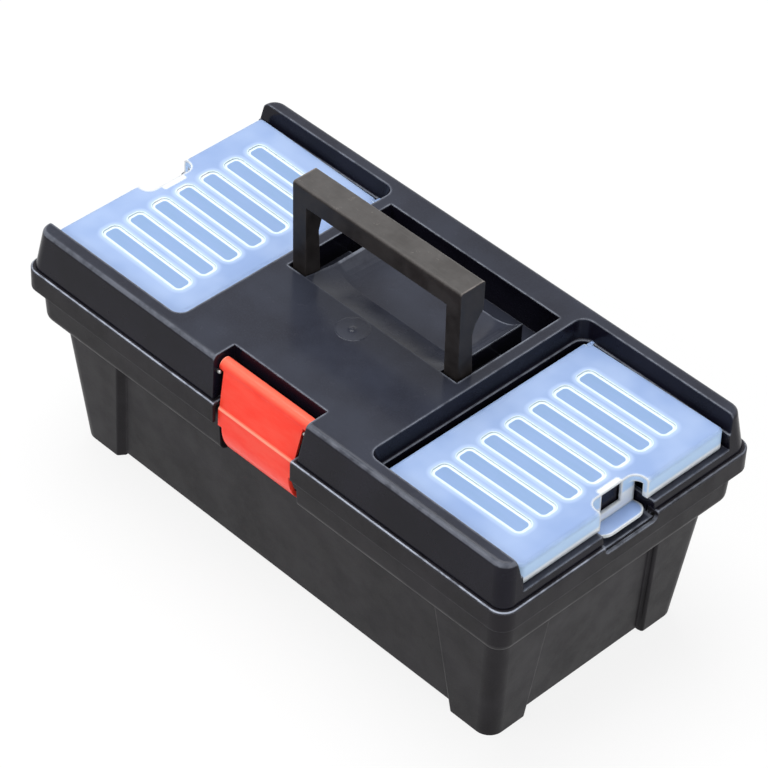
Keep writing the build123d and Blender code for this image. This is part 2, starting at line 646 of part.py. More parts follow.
def cover_tab():
    """Upright plate that ends in a tongue curling outwards, and the square hole in the plate."""
    inner = TAB_X - COVER_WALL
    top = COVER_TOP - COVER_WALL / 2
    tip = TAB_BOTTOM + TONGUE_RISE
    points = [(inner, top), (TAB_X, top), (TAB_X, TAB_BOTTOM), (TONGUE_X, tip),
              (TONGUE_X, tip - COVER_WALL), (TAB_X, TAB_BOTTOM - COVER_WALL), (inner, TAB_BOTTOM - COVER_WALL)]
    tab = end_slab(points, TAB_HALF)
    corners = [edge for edge in tab.edges().filter_by(Axis.Z) if edge.center().X > TONGUE_X - OVERLAP]
    tab = fillet(corners, TONGUE_CORNER)
    high = COVER_TOP - TAB_HOLE_DROP
    hole = block(inner - COVER_WALL, TAB_X + COVER_WALL, -TAB_HOLE_HALF, TAB_HOLE_HALF,
                 high - TAB_HOLE_HEIGHT, high)
    return tab, hole


def right_cover():
    """Clear cover over the right pocket, which rises a little towards its outer end."""
    tab, hole = cover_tab()
    peg = COVER_HALF + COVER_PEG_LENGTH
    barrel_half = COVER_HALF - COVER_HINGE_CORNER
    barrel = rod_y(COVER_HINGE_X, -barrel_half, barrel_half, COVER_HINGE_Z, COVER_BARREL)
    pegs = rod_y(COVER_HINGE_X, -peg, peg, COVER_HINGE_Z, COVER_PEG)
    level = cover_shell() + tab + barrel + pegs - hole - cover_slots()
    hinge = Pos(COVER_HINGE_X, 0, COVER_HINGE_Z)
    return hinge * Rot(0, -COVER_RISE, 0) * hinge.inverse() * level


def handle():
    """Bail handle whose grip is deeper than its legs, with moulded pivot pegs."""
    low = HANDLE_Z - LEG_FOOT
    bow = block(-HANDLE_HALF, HANDLE_HALF, -HANDLE_FRONT - CUT, HANDLE_REAR + CUT, low, HANDLE_TOP)
    bow -= block(-HANDLE_INNER, HANDLE_INNER, -HANDLE_FRONT - CUT, HANDLE_REAR + CUT, low - CUT,
                 HANDLE_TOP - HANDLE_GRIP)
    heel = HANDLE_TOP - HANDLE_GRIP - GRIP_HEEL
    neck = heel - NECK_DROP
    waist = neck - WAIST_DROP
    points = [(-LEG_FRONT, HANDLE_Z), (-HANDLE_FRONT, HANDLE_TOP), (HANDLE_REAR, HANDLE_TOP),
              (HANDLE_REAR, heel), (LEG_WAIST + HANDLE_ROUND, neck), (LEG_WAIST, waist), (LEG_FOOT, HANDLE_Z)]
    side = side_slab(points, HANDLE_HALF)
    side += rod_x(-HANDLE_HALF, HANDLE_HALF, 0, HANDLE_Z, LEG_FOOT)
    bow = bow & side
    long_edges = [edge for edge in bow.edges().filter_by(Axis.X) if edge.center().Z > HANDLE_TOP - OVERLAP]
    bow = fillet(long_edges, HANDLE_ROUND)
    peg = HANDLE_HALF + HANDLE_PEG_LENGTH
    return bow + both_ends(rod_x(HANDLE_HALF - OVERLAP, peg, 0, HANDLE_Z, HANDLE_PEG))


def latch_side():
    """Side outline of the latch's plate, ridge and curled lip, as a slab."""
    top_front = LATCH_PIVOT_Y - LATCH_BARREL + OVERLAP
    ridge_y = LATCH_FACE_Y + LATCH_STEP
    start, middle, end = radians(180), radians(180 + LIP_SWEEP / 2), radians(180 + LIP_SWEEP)
    inner = LIP_RADIUS - LATCH_THICKNESS

    def on_arc(radius, angle):
        return LIP_CENTRE_Y + radius * cos(angle), LIP_Z + radius * sin(angle)

    outline = [Line((top_front, LATCH_PIVOT_Z), (ridge_y, RIDGE_Z + LATCH_STEP)),
               Line((ridge_y, RIDGE_Z + LATCH_STEP), (LATCH_FACE_Y, RIDGE_Z)),
               Line((LATCH_FACE_Y, RIDGE_Z), on_arc(LIP_RADIUS, start)),
               ThreePointArc(on_arc(LIP_RADIUS, start), on_arc(LIP_RADIUS, middle), on_arc(LIP_RADIUS, end)),
               Line(on_arc(LIP_RADIUS, end), on_arc(inner, end)),
               ThreePointArc(on_arc(inner, end), on_arc(inner, middle), on_arc(inner, start)),
               Line(on_arc(inner, start), (LATCH_FACE_Y + LATCH_THICKNESS, RIDGE_Z)),
               Line((LATCH_FACE_Y + LATCH_THICKNESS, RIDGE_Z), (top_front + LATCH_THICKNESS, LATCH_PIVOT_Z)),
               Line((top_front + LATCH_THICKNESS, LATCH_PIVOT_Z), (top_front, LATCH_PIVOT_Z))]
    return extrude(Plane.YZ * make_face(outline), LATCH_BARREL_HALF, both=True)


def latch_front():
    """Front outline of the latch, as a slab: tapered plate, cheeks, then a narrower lip with rounded corners."""
    top = LATCH_PIVOT_Z + LATCH_BARREL
    low = LIP_Z - LIP_RADIUS * sin(radians(LIP_SWEEP)) - OVERLAP
    plate = make_face(Polyline((-LATCH_TOP_HALF, top), (LATCH_TOP_HALF, top), (LATCH_HALF, RIDGE_Z),
                               (LATCH_HALF, LIP_Z), (-LATCH_HALF, LIP_Z), (-LATCH_HALF, RIDGE_Z), close=True))
    lip = Pos(0, (RIDGE_Z + low) / 2) * Rectangle(2 * LIP_HALF, RIDGE_Z - low)
    lip = fillet(lip.vertices().group_by(Axis.Y)[0], LIP_CORNER)
    return extrude(Plane.XZ * (plate + lip), HALF_DEPTH)


def latch():
    """Latch: barrel on its pin, plate with a ridge, cheeks and a lip that curls under the catch."""
    plate = latch_side() & latch_front()
    back = LATCH_FACE_Y + LATCH_CHEEK_DEPTH
    cheek = block(LATCH_HALF - LATCH_THICKNESS, LATCH_HALF, LATCH_FACE_Y + LATCH_STEP, back, LIP_Z, RIDGE_Z)
    barrel = rod_x(-LATCH_BARREL_HALF, LATCH_BARREL_HALF, LATCH_PIVOT_Y, LATCH_PIVOT_Z, LATCH_BARREL)
    hole = rod_x(-HALF_DEPTH, HALF_DEPTH, LATCH_PIVOT_Y, LATCH_PIVOT_Z, LATCH_PIN + PIN_CLEARANCE)
    return plate + both_ends(cheek) + barrel - hole


def latch_pin():
    """Steel pin through the latch's barrel, held in the walls of the lid's notch."""
    end = LATCH_NOTCH_HALF + LID_WALL
    return rod_x(-end, end, LATCH_PIVOT_Y, LATCH_PIVOT_Z, LATCH_PIN)


def hinge_pin():
    """Steel pin of the right rear hinge."""
    half = KNUCKLE_TUB / 2 + KNUCKLE_GAP + KNUCKLE_LID
    return rod_x(HINGE_X - half, HINGE_X + half, HINGE_Y, HINGE_Z, HINGE_PIN)


def write(name, shape):
    """Move a piece to the box's origin and write it."""
    export_step(Pos(0, ORIGIN_SHIFT, 0) * shape, f"parts/{name}.step")


os.makedirs("parts", exist_ok=True)
write("tub", tub())
write("lid", lid())
write("handle", handle())
write("latch", latch())
write("latch_pin", latch_pin())
write("right_cover", right_cover())
write("left_cover", mirror(right_cover(), Plane.YZ))
write("right_hinge_pin", hinge_pin())
write("left_hinge_pin", mirror(hinge_pin(), Plane.YZ))
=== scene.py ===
from math import cos, pi, radians, sin

import bmesh
import bpy
from mathutils import Matrix, Vector


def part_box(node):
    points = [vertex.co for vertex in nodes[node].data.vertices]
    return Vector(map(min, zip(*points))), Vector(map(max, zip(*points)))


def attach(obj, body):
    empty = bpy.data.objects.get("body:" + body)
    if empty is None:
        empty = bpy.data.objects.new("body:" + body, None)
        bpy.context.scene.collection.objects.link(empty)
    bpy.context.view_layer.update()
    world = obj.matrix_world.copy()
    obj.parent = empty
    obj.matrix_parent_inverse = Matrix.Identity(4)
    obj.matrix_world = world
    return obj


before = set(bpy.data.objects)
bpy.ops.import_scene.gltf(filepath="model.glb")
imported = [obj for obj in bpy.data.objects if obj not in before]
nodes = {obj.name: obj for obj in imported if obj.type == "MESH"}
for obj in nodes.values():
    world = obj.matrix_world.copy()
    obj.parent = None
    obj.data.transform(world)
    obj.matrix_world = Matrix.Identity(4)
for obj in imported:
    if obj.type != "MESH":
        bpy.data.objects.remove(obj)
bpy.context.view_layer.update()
MM = 0.001
lid_low, lid_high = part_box("lid")
cover_low, cover_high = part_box("right_cover")
handle_low, handle_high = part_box("handle")
pin_low, pin_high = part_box("latch_pin")

# Camera, solved from the edges and corners of the box in the photograph
CAMERA_TARGET = Vector((5.891, -5.317, 90.0)) * MM
CAMERA_AZIMUTH = radians(43.939)
CAMERA_ELEVATION = radians(41.712)
CAMERA_ROLL = radians(-2.718)
CAMERA_DISTANCE = 1617.73 * MM
CAMERA_LENS = 166.48
CAMERA_SENSOR = 36.0
CAMERA_NEAR = 0.05
CAMERA_FAR = 20.0

# Studio, in metres and watts: each lamp's name, place, target, size and power
LAMPS = (("overhead", (-0.5, 0.15, 2.3), (0, 0, 0.1), (1.6, 1.6), 45),
         ("front", (-0.5, -1.75, 1.55), (0, 0, 0.08), (1.9, 0.16), 12),
         ("side", (2.2, -0.5, 1.3), (0, 0, 0.08), (1.2, 1.2), 11))
WORLD_STRENGTH = 0.4
FLOOR_SIZE = 6.0
FLOOR_COLOUR = (0.9, 0.9, 0.9)
FLOOR_ROUGH = 0.9
FLOOR_GLOW = 0.85
WHITE = (1, 1, 1)

# Colours, linear
CHARCOAL = (0.0072, 0.006, 0.0078)
CHARCOAL_PALE = (0.0185, 0.0165, 0.0205)
# Painted highlight on the outward edges of the tub and the lid
CHARCOAL_HIGHLIGHT = (0.23, 0.25, 0.3)
# Painted highlight lines along the rim of the tub and low on the lid
RIM_HIGHLIGHT = (0.46, 0.5, 0.6)
LID_HIGHLIGHT = (0.125, 0.135, 0.165)
LID_SIDE = (0.0038, 0.0034, 0.0072)
LID_SIDE_PALE = (0.0098, 0.009, 0.0168)
# Level faces of the lid, painted lighter than its sides as lit from above
DECK_LIT = (0.023, 0.0245, 0.035)
DECK_LIT_PALE = (0.039, 0.044, 0.063)
HANDLE = (0.013, 0.0105, 0.0102)
HANDLE_SIDE = (0.03, 0.0265, 0.0265)
# Top of the handle, painted lighter than its sides as lit from above
HANDLE_LIT_TOP = (0.06, 0.056, 0.054)
HANDLE_LIT_TOP_PALE = (0.088, 0.083, 0.081)
# Real scuffs on the handle's top, and painted highlight on its outward edges
HANDLE_SCUFF_AND_HIGHLIGHT = (0.24, 0.215, 0.2)
RED = (1.0, 0.045, 0.024)
RED_PALE = (1.0, 0.075, 0.045)
# Top of the latch, painted lighter as lit from above
RED_LIT_TOP = (1.0, 0.15, 0.09)
# Painted highlight on the ridge and outward edges of the latch
RED_HIGHLIGHT = (1.0, 0.4, 0.28)
MILK = (0.262, 0.375, 0.64)
MILK_PALE = (0.345, 0.46, 0.71)
MILK_FLOOR = (0.235, 0.36, 0.59)
# Painted glow of a cover near its slots
MILK_GLOW = (0.53, 0.67, 0.92)
# Upright skirt of a cover, painted with a brighter glow than its top
MILK_SKIRT_GLOW = (0.5, 0.7, 0.98)
# Painted glow on the walls round the slots and along the outward edges of a cover
MILK_RING_AND_EDGE_GLOW = (0.78, 0.92, 0.98)
# Painted glow along the hem of the skirt and round the snap tab
MILK_EDGE_GLOW = (0.93, 0.97, 1.0)
STEEL = (0.42, 0.42, 0.41)
STEEL_DULL = (0.24, 0.24, 0.235)

# Slots of the clear covers and the painted glow round them, in mm
SLOT_PITCH = 15.2
SLOT_LAST_ROW = 3.0
SLOT_HALF_LENGTH = 27.25
SLOT_HALF_WIDTH = 5.1
SLOT_CORNER = 3.6
SLOT_MIDDLE_X = cover_low.x / MM + 41.45
SLOT_MIDDLE_Y = (cover_low.y + cover_high.y) / 2 / MM
RING_INNER = -1.35
RING_OUTER = 0.45
GLOW_NEAR = 0.4
GLOW_FAR = 3.2
SOFT_NEAR = 1.5
SOFT_FAR = 5.0

# Snap tab and hem of a cover, which are painted with a bright glow, in mm
TAB_INNER = cover_high.x / MM - 17.93
TAB_HALF = 17.0
TAB_BLUR = 1.0
HEM_HEIGHT = cover_high.z / MM - 7.6
HEM_BLUR = 0.9

# Painted highlight lines on the rim of the tub and low on the lid, which fade towards the back, in mm
RIM_HEIGHT = lid_high.z / MM - 22.2
LID_HIGHLIGHT_HEIGHT = lid_high.z / MM - 20.5
LINE_WIDTH = 0.475
LINE_BLUR = 0.125
LINE_BACK = 10.0
LINE_FRONT = -60.0

# Crest of the handle's well, where the painted edge highlight stays weak: half width, front and back, in mm
CREST = (handle_high.x / MM - 10.4, handle_low.y / MM - 7.14, handle_high.y / MM + 5.9)
CREST_BLUR = 1.0
CREST_HIGHLIGHT = 0.15

# Ridge of the latch, which gets a painted highlight line, in mm
RIDGE_HEIGHT = (pin_low.z + pin_high.z) / 2 / MM - 19.5
RIDGE_HALF = 0.55
RIDGE_BLUR = 0.25

# Small trim, in metres
GATE_PLACE = Vector((-2.3 * MM, -18.5 * MM, lid_high.z))
GATE_RADIUS = 8.5 * MM
GATE_RELIEF = 0.12 * MM
GATE_STEPS = 48
STUB_RADIUS = 0.9 * MM
STUB_LENGTH = 4.0 * MM
STUB_INNER = 26.6 * MM
STUB_FORWARD = 4.2 * MM
STUB_DROP = 2.2 * MM
STUB_STEPS = 20


def make_camera():
    """Camera at the photograph's viewing angle."""
    out = Vector((sin(CAMERA_AZIMUTH) * cos(CAMERA_ELEVATION),
                  -cos(CAMERA_AZIMUTH) * cos(CAMERA_ELEVATION),
                  sin(CAMERA_ELEVATION)))
    level = (-out).cross(Vector((0, 0, 1))).normalized()
    down = (-out).cross(level)
    right = cos(CAMERA_ROLL) * level + sin(CAMERA_ROLL) * down
    up = sin(CAMERA_ROLL) * level - cos(CAMERA_ROLL) * down
    data = bpy.data.cameras.new("camera")
    data.sensor_width = CAMERA_SENSOR
    data.lens = CAMERA_LENS
    data.clip_start = CAMERA_NEAR
    data.clip_end = CAMERA_FAR
    camera = bpy.data.objects.new("camera", data)
    turn = Matrix((right, up, out)).transposed()
    camera.matrix_world = Matrix.Translation(CAMERA_TARGET + out * CAMERA_DISTANCE) @ turn.to_4x4()
    bpy.context.scene.collection.objects.link(camera)
    bpy.context.scene.camera = camera


def area_light(name, place, target, size, power):
    """Soft lamp, size wide and high, that points at a target."""
    data = bpy.data.lights.new(name, "AREA")
    data.shape = "RECTANGLE"
    data.size, data.size_y = size
    data.energy = power
    lamp = bpy.data.objects.new(name, data)
    lamp.location = place
    lamp.rotation_mode = "QUATERNION"
    lamp.rotation_quaternion = (Vector(target) - Vector(place)).to_track_quat("-Z", "Y")
    bpy.context.scene.collection.objects.link(lamp)


def backdrop_rays(tree):
    """1 for the rays that show the backdrop: camera, glossy and transmission rays."""
    rays = tree.nodes.new("ShaderNodeLightPath")
    seen = rays.outputs["Is Camera Ray"]
    for name in ("Is Glossy Ray", "Is Transmission Ray"):
        either = tree.nodes.new("ShaderNodeMath")
        either.operation = "MAXIMUM"
        tree.links.new(seen, either.inputs[0])
        tree.links.new(rays.outputs[name], either.inputs[1])
        seen = either.outputs["Value"]
    return seen


def make_studio():
    """Even surroundings, a large soft lamp overhead and two weak fills."""
    scene = bpy.context.scene
    scene.view_settings.view_transform = "Standard"
    world = bpy.data.worlds.new("studio")
    scene.world = world
    world.use_nodes = True
    tree = world.node_tree
    back = tree.nodes["Background"]
    back.inputs["Color"].default_value = (*WHITE, 1)
    strength = tree.nodes.new("ShaderNodeMapRange")
    strength.inputs["To Min"].default_value = WORLD_STRENGTH
    strength.inputs["To Max"].default_value = 1.0
    tree.links.new(backdrop_rays(tree), strength.inputs["Value"])
    tree.links.new(strength.outputs["Result"], back.inputs["Strength"])
    for lamp in LAMPS:
        area_light(*lamp)


def make_floor():
    """White floor that keeps a soft shadow of the box."""
    bpy.ops.mesh.primitive_plane_add(size=FLOOR_SIZE, location=(0, 0, 0))
    floor = bpy.context.object
    floor.name = "floor"
    material = bpy.data.materials.new("floor")
    material.use_nodes = True
    tree = material.node_tree
    shader = tree.nodes["Principled BSDF"]
    shader.inputs["Base Color"].default_value = (*FLOOR_COLOUR, 1)
    shader.inputs["Roughness"].default_value = FLOOR_ROUGH
    shader.inputs["Specular IOR Level"].default_value = 0.0
    glow = tree.nodes.new("ShaderNodeEmission")
    glow.inputs["Color"].default_value = (*WHITE, 1)
    share = tree.nodes.new("ShaderNodeMath")
    share.operation = "MULTIPLY"
    share.inputs[1].default_value = FLOOR_GLOW
    tree.links.new(backdrop_rays(tree), share.inputs[0])
    mix = tree.nodes.new("ShaderNodeMixShader")
    tree.links.new(share.outputs["Value"], mix.inputs["Fac"])
    tree.links.new(shader.outputs["BSDF"], mix.inputs[1])
    tree.links.new(glow.outputs["Emission"], mix.inputs[2])
    tree.links.new(mix.outputs["Shader"], tree.nodes["Material Output"].inputs["Surface"])
    floor.data.materials.append(material)


class Finish:
    """One material and the nodes that it is made of."""

    def __init__(self, name):
        self.material = bpy.data.materials.new(name)
        self.material.use_nodes = True
        self.tree = self.material.node_tree
        self.shader = self.tree.nodes["Principled BSDF"]
        self.place = self.node("ShaderNodeTexCoord").outputs["Object"]

    def node(self, kind, **settings):
        made = self.tree.nodes.new(kind)
        for key, value in settings.items():
            setattr(made, key, value)
        return made

    def feed(self, socket, value):
        """Link a socket to an output, or write a constant on it."""
        if isinstance(value, bpy.types.NodeSocket):
            self.tree.links.new(value, socket)
        elif isinstance(value, tuple) and len(value) == 3 and socket.type == "RGBA":
            socket.default_value = (*value, 1)
        else:
            socket.default_value = value

    def shade(self, **values):
        """Feed the shader's sockets, named with underscores."""
        for name, value in values.items():
            self.feed(self.shader.inputs[name.replace("_", " ")], value)

    def math(self, operation, first, second=0.0):
        made = self.node("ShaderNodeMath", operation=operation)
        self.feed(made.inputs[0], first)
        self.feed(made.inputs[1], second)
        return made.outputs["Value"]

    def both(self, first, second):
        """Product of two masks."""
        return self.math("MULTIPLY", first, second)

    def size_of(self, value):
        """The value without its sign."""
        return self.math("ABSOLUTE", value)

    def step(self, value, low, high, to_low=0.0, to_high=1.0):
        """Smooth step from to_low, where value is low, to to_high, where it is high."""
        made = self.node("ShaderNodeMapRange", interpolation_type="SMOOTHSTEP")
        self.feed(made.inputs["Value"], value)
        self.feed(made.inputs["From Min"], low)
        self.feed(made.inputs["From Max"], high)
        self.feed(made.inputs["To Min"], to_low)
        self.feed(made.inputs["To Max"], to_high)
        return made.outputs["Result"]

    def over(self, value, limit, blur, least=0.0):
        """1 where a value is over a limit and least where it is under it, with a soft border."""
        return self.step(value, limit - blur, limit + blur, least)

    def under(self, value, limit, blur, least=0.0):
        """1 where a value is under a limit and least where it is over it, with a soft border."""
        return self.step(value, limit + blur, limit - blur, least)

    def spread(self, mask, low, high):
        """Values from low, where the mask is 0, to high, where it is 1."""
        return self.step(mask, 0.0, 1.0, low, high)

    def blend(self, mask, first, second, share=1.0):
        """Colour between first and second, which at a mask of 1 has the given share."""
        factor = mask if share == 1.0 else self.math("MULTIPLY", mask, share)
        made = self.node("ShaderNodeMix", data_type="RGBA")
        self.feed(made.inputs["Factor"], factor)
        self.feed(made.inputs[6], first)
        self.feed(made.inputs[7], second)
        return made.outputs[2]

    def noise(self, size, detail=2.0, stretch=1.0, rough=0.5):
        """Noise with features of a size in mm, drawn out along X by the given stretch."""
        place = self.place
        if stretch != 1.0:
            turned = self.node("ShaderNodeMapping")
            self.feed(turned.inputs["Vector"], place)
            turned.inputs["Scale"].default_value = (1.0 / stretch, 1.0, 1.0)
            place = turned.outputs["Vector"]
        made = self.node("ShaderNodeTexNoise")
        self.feed(made.inputs["Vector"], place)
        made.inputs["Scale"].default_value = 1.0 / (size * MM)
        made.inputs["Detail"].default_value = detail
        made.inputs["Roughness"].default_value = rough
        return made.outputs["Fac"]

    def patches(self, size, detail, low=0.3, high=0.7, to=(0.0, 1.0), **look):
        """Soft patches of a size in mm, from a smooth step over a noise."""
        return self.step(self.noise(size, detail, **look), low, high, *to)

    def along(self, axis):
        """Place along an axis in mm, with the part at rest."""
        parts = self.node("ShaderNodeSeparateXYZ")
        self.feed(parts.inputs["Vector"], self.place)
        return self.math("MULTIPLY", parts.outputs[axis], 1 / MM)

    def upward(self, normal, low, high, to_low=0.0):
        """Step over how far a normal points up."""
        parts = self.node("ShaderNodeSeparateXYZ")
        self.feed(parts.inputs["Vector"], normal)
        return self.step(parts.outputs["Z"], low, high, to_low)

    def facing_up(self, low=0.45, high=0.95):
        """1 on faces that look up, 0 on upright ones."""
        return self.upward(self.node("ShaderNodeNewGeometry").outputs["True Normal"], low, high)

    def bevels(self):
        """1 on sloping faces, 0 on level and upright ones."""
        return self.both(self.facing_up(0.3, 0.5), self.facing_up(0.97, 0.85))

    def rounded(self, radius, samples):
        """Normal with the edges rounded by a radius in metres."""
        soft = self.node("ShaderNodeBevel", samples=samples)
        self.feed(soft.inputs["Radius"], radius)
        return soft.outputs["Normal"]

    def rounded_up(self, radius, low, high, to_low=0.0):
        """As facing_up, with the edges rounded by a radius."""
        return self.upward(self.rounded(radius, 4), low, high, to_low)

    def edges(self, reach, hanging=0.03, blunt=0.95, keen=0.6):
        """Mask of a painted highlight: 1 on outward edges, less on upright and hanging ones, 0 on flats."""
        inside = self.node("ShaderNodeAmbientOcclusion", inside=True, only_local=True, samples=6)
        inside.inputs["Distance"].default_value = reach
        highlight_amount = self.step(inside.outputs["AO"], blunt, keen)
        return self.both(highlight_amount, self.rounded_up(reach, 0.15, 0.6, hanging))

    def outside(self, half, front, back):
        """1 outside the crest's half width or its front and back, in mm, and weak on it."""
        beside = self.over(self.size_of(self.along("X")), half, CREST_BLUR, CREST_HIGHLIGHT)
        before = self.under(self.along("Y"), front, CREST_BLUR, CREST_HIGHLIGHT)
        behind = self.over(self.along("Y"), back, CREST_BLUR, CREST_HIGHLIGHT)
        return self.math("MAXIMUM", beside, self.math("MAXIMUM", before, behind))

    def relief(self, height, strength, depth, edge):
        """Grain of a depth in metres, on edges rounded by a radius in metres."""
        bump = self.node("ShaderNodeBump")
        bump.inputs["Strength"].default_value = strength
        bump.inputs["Distance"].default_value = depth
        self.feed(bump.inputs["Height"], height)
        self.feed(bump.inputs["Normal"], self.rounded(edge, 6))
        self.shade(Normal=bump.outputs["Normal"], Coat_Normal=bump.outputs["Normal"])


def moulded(name, dark, pale, edge, rough, grain, grain_size, edge_reach, gloss, edge_round=0.6,
            top=None, line=None, calm=None):
    """Moulded plastic: soft mottling, fine grain, painted highlights on outward edges and uneven polish, with
    sizes in mm. top holds the two colours of its level faces, painted lighter than the sides as lit from above,
    line the colour and height of a painted highlight line, and calm the half width, front and back of a part whose
    painted edge highlight stays weak."""
    f = Finish(name)
    if top:
        # Level faces painted lighter than the sides, as lit from above
        level = f.facing_up()
        dark = f.blend(level, dark, top[0])
        pale = f.blend(level, pale, top[1])
    mottle = f.patches(size=30, detail=3)
    speck = f.patches(size=grain_size, detail=3, low=0.35, high=0.75, rough=0.7)
    colour = f.blend(mottle, dark, pale, share=0.7)
    colour = f.blend(speck, colour, pale, share=0.45)
    # Patches that set how strong the painted edge highlight is
    highlight_amount = f.patches(size=9, detail=3, high=0.6, to=(0.35, 1.0), rough=0.65)
    if calm:
        highlight_amount = f.both(highlight_amount, f.outside(*calm))
    # Painted highlight on outward edges
    colour = f.blend(f.both(f.edges(edge_reach * MM), highlight_amount), colour, edge)
    if line:
        line_colour, line_height = line
        # Painted highlight line along a sloping edge, fading towards the back
        rim = f.both(f.over(f.along("Z"), line_height - LINE_WIDTH, LINE_BLUR), f.bevels())
        near = f.step(f.along("Y"), LINE_BACK, LINE_FRONT, 0.25, 0.95)
        colour = f.blend(f.both(rim, f.both(near, highlight_amount)), colour, line_colour)
    polish = f.patches(size=14, detail=4, to=(rough - 0.07, rough + 0.07), rough=0.6)
    f.shade(Base_Color=colour, Roughness=polish, Coat_Weight=gloss, Coat_Roughness=0.13, Specular_IOR_Level=0.06)
    f.relief(f.noise(grain_size, 4, rough=0.65), strength=0.5, depth=grain * MM, edge=edge_round * MM)
    return f


def handle_plastic():
    """Brown-black plastic of the handle, with its top painted lighter than its sides as lit from above, scuffs on
    the top and painted highlights on outward edges.
    """
    f = Finish("handle")
    top = f.facing_up()
    mottle = f.patches(size=12, detail=4, rough=0.65)
    # Top faces painted lighter than the sides, as lit from above
    colour = f.blend(top, f.blend(mottle, HANDLE, HANDLE_SIDE), f.blend(mottle, HANDLE_LIT_TOP, HANDLE_LIT_TOP_PALE))
    streak = f.patches(size=0.9, detail=3, low=0.45, high=0.75, stretch=14, rough=0.6)
    colour = f.blend(f.both(streak, top), colour, HANDLE_LIT_TOP_PALE, share=0.5)
    scuff = f.patches(size=4, detail=5, low=0.6, rough=0.75)
    colour = f.blend(f.both(scuff, top), colour, HANDLE_SCUFF_AND_HIGHLIGHT, share=0.38)
    # Patches that set how strong the painted edge highlight is
    highlight_amount = f.patches(size=7, detail=3, high=0.6, to=(0.3, 1.0), rough=0.65)
    # Painted highlight on outward edges
    colour = f.blend(f.both(f.edges(1.1 * MM), highlight_amount), colour, HANDLE_SCUFF_AND_HIGHLIGHT)
    f.shade(Base_Color=colour, Roughness=f.spread(mottle, 0.42, 0.56), Specular_IOR_Level=0.16)
    f.relief(f.noise(0.8, 4, rough=0.65), strength=0.5, depth=0.05 * MM, edge=0.5 * MM)
    return f


def slot_distance(f):
    """Distance from a cover's nearest slot outline in mm, negative inside the slot."""
    reach = f.size_of(f.math("SUBTRACT", f.size_of(f.along("X")), SLOT_MIDDLE_X))
    across = f.math("SUBTRACT", f.along("Y"), SLOT_MIDDLE_Y)
    row = f.math("ROUND", f.math("DIVIDE", across, SLOT_PITCH))
    row = f.math("MAXIMUM", f.math("MINIMUM", row, SLOT_LAST_ROW), -SLOT_LAST_ROW)
    off = f.size_of(f.math("SUBTRACT", across, f.math("MULTIPLY", row, SLOT_PITCH)))
    past_end = f.math("SUBTRACT", reach, SLOT_HALF_LENGTH - SLOT_CORNER)
    past_side = f.math("SUBTRACT", off, SLOT_HALF_WIDTH - SLOT_CORNER)
    end = f.math("MAXIMUM", past_end, 0.0)
    flank = f.math("MAXIMUM", past_side, 0.0)
    outside = f.math("SQRT", f.math("ADD", f.both(end, end), f.both(flank, flank)))
    inside = f.math("MINIMUM", f.math("MAXIMUM", past_end, past_side), 0.0)
    return f.math("SUBTRACT", f.math("ADD", outside, inside), SLOT_CORNER)


def milky_plastic():
    """Milky clear plastic of the covers, with a painted glow round the slots, on the upright skirt, along the hem,
    round the snap tab and along outward edges.
    """
    f = Finish("cover")
    distance = slot_distance(f)
    colour = f.blend(f.patches(size=22, detail=2, low=0.25, high=0.75), MILK, MILK_PALE)
    # Upright skirt painted with a brighter glow
    colour = f.blend(f.rounded_up(3.0 * MM, 0.98, 0.2), colour, MILK_SKIRT_GLOW)
    # Painted glow along the hem of the skirt
    hem = f.both(f.under(f.along("Z"), HEM_HEIGHT, HEM_BLUR), f.facing_up(0.6, 0.2))
    colour = f.blend(hem, colour, MILK_EDGE_GLOW, share=0.9)
    # Painted glow near the slots
    colour = f.blend(f.step(distance, GLOW_FAR, GLOW_NEAR), colour, MILK_GLOW, share=0.6)
    streak = f.patches(size=5, detail=3, stretch=4)
    colour = f.blend(f.under(distance, RING_INNER, 0.2), colour,
                     f.blend(streak, MILK_FLOOR, MILK, share=0.45))
    # Painted glow on the walls round the slots
    ring = f.both(f.over(distance, RING_INNER, 0.25), f.under(distance, RING_OUTER, 0.15))
    colour = f.blend(ring, colour, MILK_RING_AND_EDGE_GLOW, share=0.92)
    # Painted glow along outward edges
    colour = f.blend(f.edges(0.8 * MM, hanging=0.9, blunt=0.8, keen=0.55), colour, MILK_RING_AND_EDGE_GLOW)
    beside = f.size_of(f.math("SUBTRACT", f.along("Y"), SLOT_MIDDLE_Y))
    # Painted glow round the edges of the snap tab
    tab = f.both(f.under(beside, TAB_HALF, TAB_BLUR), f.over(f.size_of(f.along("X")), TAB_INNER, TAB_BLUR))
    lip = f.both(f.edges(1.25 * MM, hanging=1.0, blunt=0.93, keen=0.7), tab)
    colour = f.blend(lip, colour, MILK_EDGE_GLOW)
    f.shade(Base_Color=colour, Roughness=f.patches(size=14, detail=2, to=(0.3, 0.4)),
            Transmission_Weight=0.0, Specular_IOR_Level=0.4, IOR=1.45)
    f.relief(f.noise(5), strength=0.3, depth=0.05 * MM,
             edge=f.step(distance, SOFT_NEAR, SOFT_FAR, 1.2 * MM, 3.0 * MM))
    return f


